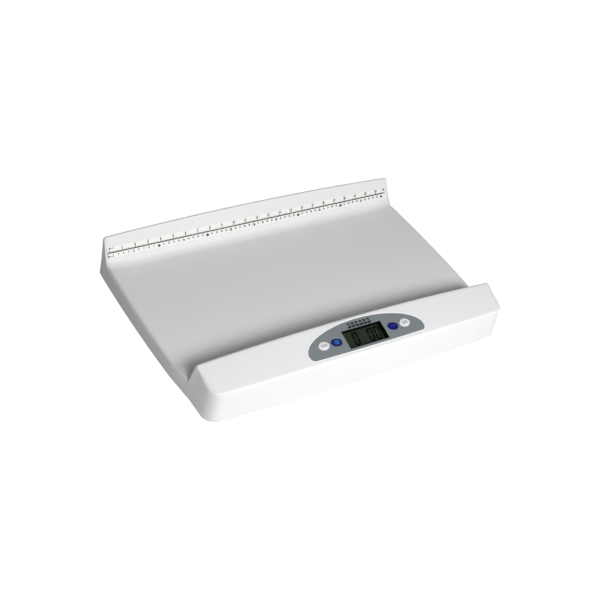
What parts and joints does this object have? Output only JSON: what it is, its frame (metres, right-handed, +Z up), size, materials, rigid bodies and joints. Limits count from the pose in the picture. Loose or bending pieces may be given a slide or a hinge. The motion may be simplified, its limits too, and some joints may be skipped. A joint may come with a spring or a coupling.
{
  "type": "baby scale",
  "caption": "Digital baby scale: a white curved tray between a raised display rail and a leaning back wall with a printed measuring tape, on load-cell feet.",
  "frame": {"origin": "under the middle of the bounding box, on the plane that the feet stand on", "axes": "+X to the right as seen from the display side, +Y to the back wall, +Z up"},
  "size_m": [0.6378, 0.403, 0.0907],
  "materials": {
    "shell_white": "white satin ABS",
    "pan_white": "white moulded ABS",
    "tape_film": "cream printed film with black scale",
    "label_grey": "grey printed label with a white border",
    "clear_lens": "clear acrylic window",
    "black_plastic": "black moulded plastic",
    "lcd": "dark olive liquid crystal display",
    "board_green": "green solder mask",
    "key_white": "white satin key cap",
    "key_blue": "deep blue satin key cap",
    "plunger_ivory": "ivory moulded nylon",
    "screw_steel": "zinc plated",
    "cell_steel": "nickel plated alloy steel",
    "spring_steel": "nickel plated spring steel",
    "grey_plastic": "grey moulded plastic",
    "foot_rubber": "dark soft rubber",
    "battery_can": "dark printed wrap",
    "wire_grey": "grey PVC jacket",
    "wire_red": "red PVC insulation",
    "wire_black": "black PVC insulation"
  },
  "bodies": {
    "scale_body": {"tray_shell": "shell_white", "base_pan": "pan_white", "measuring_tape": "tape_film", "battery_lead_black": "wire_black", "battery_lead_red": "wire_red", "power_jack": "black_plastic", "jack_cable": "wire_black", "display_overlay": "label_grey", "display_lens": "clear_lens", "lcd_carrier": "black_plastic", "lcd_glass": "lcd", "main_board": "board_green", "base_screw_1": "screw_steel", "battery_1": "battery_can", "base_screw_2": "screw_steel", "battery_2": "battery_can", "base_screw_3": "screw_steel", "battery_3": "battery_can", "base_screw_4": "screw_steel", "battery_4": "battery_can", "base_screw_5": "screw_steel", "battery_5": "battery_can", "base_screw_6": "screw_steel", "battery_6": "battery_can", "load_cell_front_left": "cell_steel", "cell_clamp_front_left": "grey_plastic", "foot_cup_front_left": "grey_plastic", "foot_pad_front_left": "foot_rubber", "cell_cable_front_left": "wire_grey", "load_cell_front_right": "cell_steel", "cell_clamp_front_right": "grey_plastic", "foot_cup_front_right": "grey_plastic", "foot_pad_front_right": "foot_rubber", "cell_cable_front_right": "wire_grey", "load_cell_rear_left": "cell_steel", "cell_clamp_rear_left": "grey_plastic", "foot_cup_rear_left": "grey_plastic", "foot_pad_rear_left": "foot_rubber", "cell_cable_rear_left": "wire_grey", "load_cell_rear_right": "cell_steel", "cell_clamp_rear_right": "grey_plastic", "foot_cup_rear_right": "grey_plastic", "foot_pad_rear_right": "foot_rubber", "cell_cable_rear_right": "wire_grey", "contact_strip_left_inner": "spring_steel", "contact_strip_left_outer": "spring_steel", "contact_strip_right_inner": "spring_steel", "contact_strip_right_outer": "spring_steel"},
    "key_white_left": {"button_white_left": "key_white", "switch_plunger_white_left": "plunger_ivory"},
    "key_blue_left": {"button_blue_left": "key_blue", "switch_plunger_blue_left": "plunger_ivory"},
    "key_blue_right": {"button_blue_right": "key_blue", "switch_plunger_blue_right": "plunger_ivory"},
    "key_white_right": {"button_white_right": "key_white", "switch_plunger_white_right": "plunger_ivory"},
    "door": {"battery_door": "pan_white"}
  },
  "joints": [
    {"name": "press_white_left", "type": "slide", "parent": "scale_body", "child": "key_white_left", "axis": [0, 0.2512, -0.9679], "range_m": [0, 0.0006], "stiffness_N_per_m": 4000},
    {"name": "press_blue_left", "type": "slide", "parent": "scale_body", "child": "key_blue_left", "axis": [0, 0.2512, -0.9679], "range_m": [0, 0.0006], "stiffness_N_per_m": 4000},
    {"name": "press_blue_right", "type": "slide", "parent": "scale_body", "child": "key_blue_right", "axis": [0, 0.2512, -0.9679], "range_m": [0, 0.0006], "stiffness_N_per_m": 4000},
    {"name": "press_white_right", "type": "slide", "parent": "scale_body", "child": "key_white_right", "axis": [0, 0.2512, -0.9679], "range_m": [0, 0.0006], "stiffness_N_per_m": 4000},
    {"name": "battery_door_hinge", "type": "hinge", "parent": "scale_body", "child": "door", "pos_m": [0, -0.14305, 0.0061], "axis": [1, 0, 0], "range_deg": [0, 100]}
  ]
}
